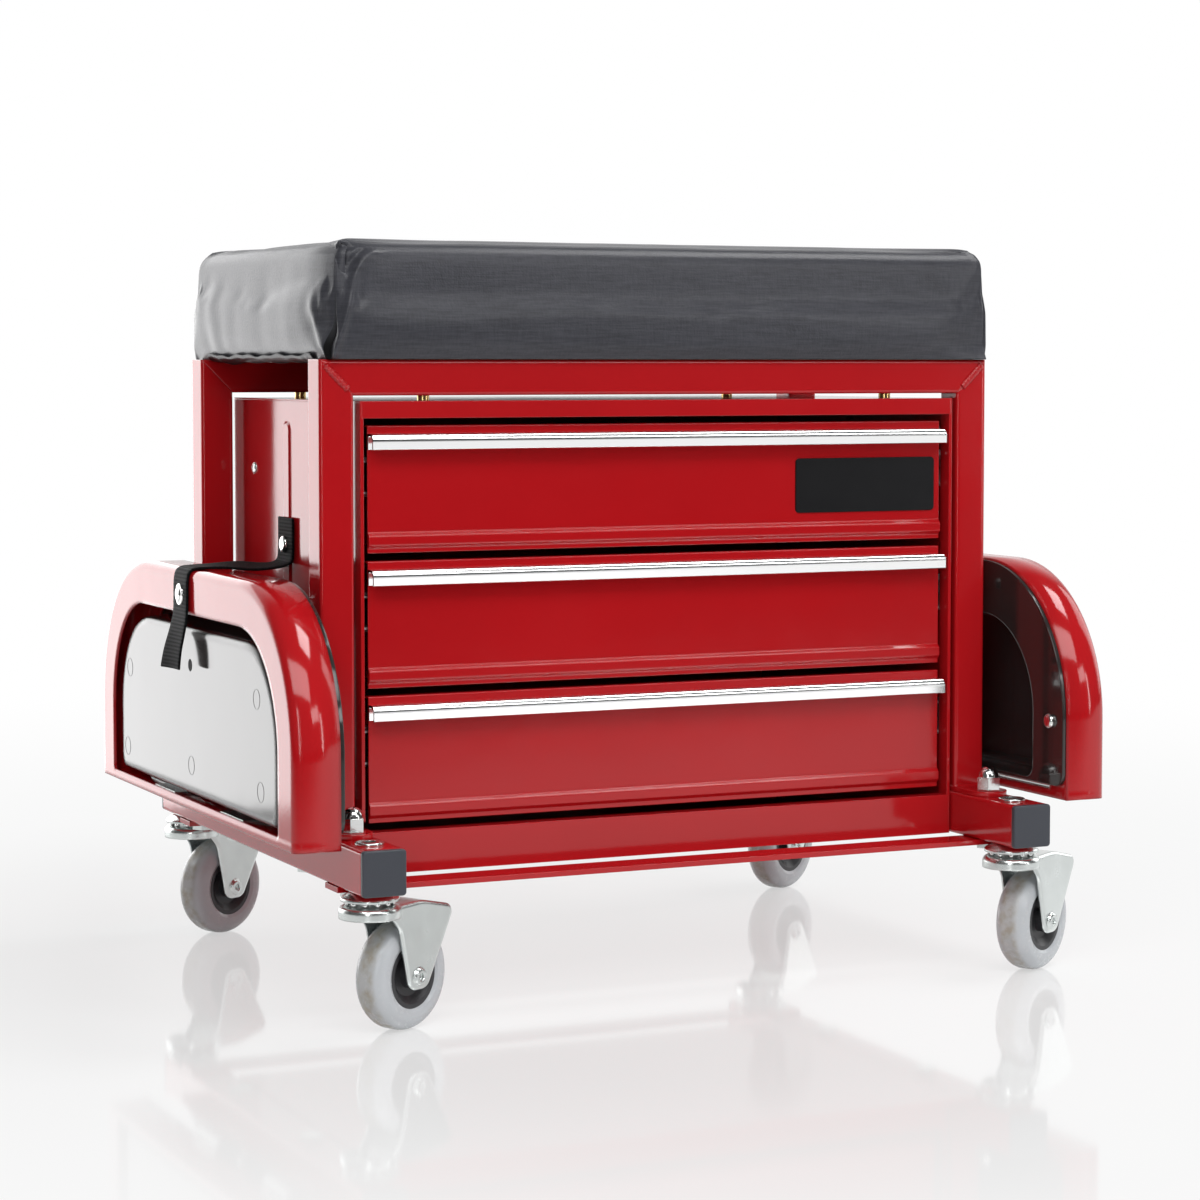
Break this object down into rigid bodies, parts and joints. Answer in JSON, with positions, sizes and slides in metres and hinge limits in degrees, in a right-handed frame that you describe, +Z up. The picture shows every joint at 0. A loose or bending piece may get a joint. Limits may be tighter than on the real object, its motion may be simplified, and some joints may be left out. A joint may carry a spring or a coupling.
{
  "type": "rolling toolbox stool",
  "caption": "Low wheeled workshop stool: padded seat on a red tube frame round a chest of drawers, with folding side trays held up by straps and swivel casters.",
  "frame": {"origin": "on the floor, under the middle of the two portals", "axes": "+Z up, -Y towards the drawer faces, +X to the right of someone facing the drawers"},
  "size_m": [0.52, 0.3783, 0.4295],
  "materials": {
    "red_paint": "glossy red powder coat",
    "pull_aluminium": "satin anodised strip",
    "slide_steel": "bare galvanised sheet",
    "plug_plastic": "slate grey moulding",
    "bright_nickel": "polished nickel",
    "zinc_plate": "bright zinc plate",
    "yellow_zinc": "yellow zinc plate",
    "seat_plywood": "bare plywood",
    "seat_vinyl": "grained black vinyl over foam",
    "tray_plastic": "glossy black moulding",
    "strap_webbing": "woven black webbing",
    "hub_plastic": "charcoal moulding",
    "tyre_rubber": "light grey tread"
  },
  "bodies": {
    "frame": {"acorn_nuts": "bright_nickel", "base_rail_left": "red_paint", "base_rail_right": "red_paint", "caster_balls": "bright_nickel", "caster_kingpins": "zinc_plate", "caster_upper_cups": "zinc_plate", "chest_back": "red_paint", "chest_bottom": "red_paint", "chest_screws": "yellow_zinc", "chest_side_left": "red_paint", "chest_side_right": "red_paint", "chest_top": "red_paint", "cross_bars": "red_paint", "drawer_slides": "slide_steel", "frame_bolts": "zinc_plate", "hinge_pins": "zinc_plate", "hinge_rail_leaves": "zinc_plate", "post_back_left": "red_paint", "post_back_right": "red_paint", "post_front_left": "red_paint", "post_front_right": "red_paint", "rail_end_plugs": "plug_plastic", "seat_board": "seat_plywood", "seat_cushion": "seat_vinyl", "strap_left": "strap_webbing", "strap_right": "strap_webbing", "strap_rivets": "bright_nickel", "strap_snaps": "bright_nickel", "top_rail_back": "red_paint", "top_rail_front": "red_paint"},
    "drawer_top": {"drawer_top": "red_paint", "drawer_top_pull": "pull_aluminium", "drawer_top_runners": "slide_steel"},
    "drawer_middle": {"drawer_middle": "red_paint", "drawer_middle_pull": "pull_aluminium", "drawer_middle_runners": "slide_steel"},
    "drawer_bottom": {"drawer_bottom": "red_paint", "drawer_bottom_pull": "pull_aluminium", "drawer_bottom_runners": "slide_steel"},
    "tray_left": {"tray_frame_left": "red_paint", "tray_insert_left": "tray_plastic", "tray_hinge_leaves_left": "zinc_plate", "tray_fasteners_left": "bright_nickel"},
    "tray_right": {"tray_frame_right": "red_paint", "tray_insert_right": "tray_plastic", "tray_hinge_leaves_right": "zinc_plate", "tray_fasteners_right": "bright_nickel"},
    "caster_front_left": {"caster_fork_front_left": "zinc_plate"},
    "wheel_front_left": {"caster_hub_front_left": "hub_plastic", "caster_tyre_front_left": "tyre_rubber"},
    "caster_front_right": {"caster_fork_front_right": "zinc_plate"},
    "wheel_front_right": {"caster_hub_front_right": "hub_plastic", "caster_tyre_front_right": "tyre_rubber"},
    "caster_back_left": {"caster_fork_back_left": "zinc_plate"},
    "wheel_back_left": {"caster_hub_back_left": "hub_plastic", "caster_tyre_back_left": "tyre_rubber"},
    "caster_back_right": {"caster_fork_back_right": "zinc_plate"},
    "wheel_back_right": {"caster_hub_back_right": "hub_plastic", "caster_tyre_back_right": "tyre_rubber"}
  },
  "joints": [
    {"name": "drawer_top_slide", "type": "slide", "parent": "frame", "child": "drawer_top", "axis": [0, -1, 0], "range_m": [0, 0.15]},
    {"name": "drawer_middle_slide", "type": "slide", "parent": "frame", "child": "drawer_middle", "axis": [0, -1, 0], "range_m": [0, 0.15]},
    {"name": "drawer_bottom_slide", "type": "slide", "parent": "frame", "child": "drawer_bottom", "axis": [0, -1, 0], "range_m": [0, 0.15]},
    {"name": "tray_left_fold", "type": "hinge", "parent": "frame", "child": "tray_left", "pos_m": [-0.2205, -0.0045, 0.1055], "axis": [0, -1, 0], "range_deg": [0, 90], "deforming": ["strap_left"]},
    {"name": "tray_right_fold", "type": "hinge", "parent": "frame", "child": "tray_right", "pos_m": [0.2205, -0.0045, 0.1055], "axis": [0, 1, 0], "range_deg": [0, 90], "deforming": ["strap_right", "strap_snaps"]},
    {"name": "caster_front_left_swivel", "type": "hinge", "parent": "frame", "child": "caster_front_left", "pos_m": [-0.202, -0.164, 0.0715], "axis": [0, 0, 1], "continuous": true},
    {"name": "wheel_front_left_spin", "type": "hinge", "parent": "caster_front_left", "child": "wheel_front_left", "pos_m": [-0.17993, -0.15226, 0.03], "axis": [-0.4695, 0.8829, 0], "continuous": true},
    {"name": "caster_front_right_swivel", "type": "hinge", "parent": "frame", "child": "caster_front_right", "pos_m": [0.202, -0.164, 0.0715], "axis": [0, 0, 1], "continuous": true},
    {"name": "wheel_front_right_spin", "type": "hinge", "parent": "caster_front_right", "child": "wheel_front_right", "pos_m": [0.22407, -0.15226, 0.03], "axis": [-0.4695, 0.8829, 0], "continuous": true},
    {"name": "caster_back_left_swivel", "type": "hinge", "parent": "frame", "child": "caster_back_left", "pos_m": [-0.202, 0.155, 0.0715], "axis": [0, 0, 1], "continuous": true},
    {"name": "wheel_back_left_spin", "type": "hinge", "parent": "caster_back_left", "child": "wheel_back_left", "pos_m": [-0.17993, 0.16674, 0.03], "axis": [-0.4695, 0.8829, 0], "continuous": true},
    {"name": "caster_back_right_swivel", "type": "hinge", "parent": "frame", "child": "caster_back_right", "pos_m": [0.202, 0.155, 0.0715], "axis": [0, 0, 1], "continuous": true},
    {"name": "wheel_back_right_spin", "type": "hinge", "parent": "caster_back_right", "child": "wheel_back_right", "pos_m": [0.22407, 0.16674, 0.03], "axis": [-0.4695, 0.8829, 0], "continuous": true}
  ]
}
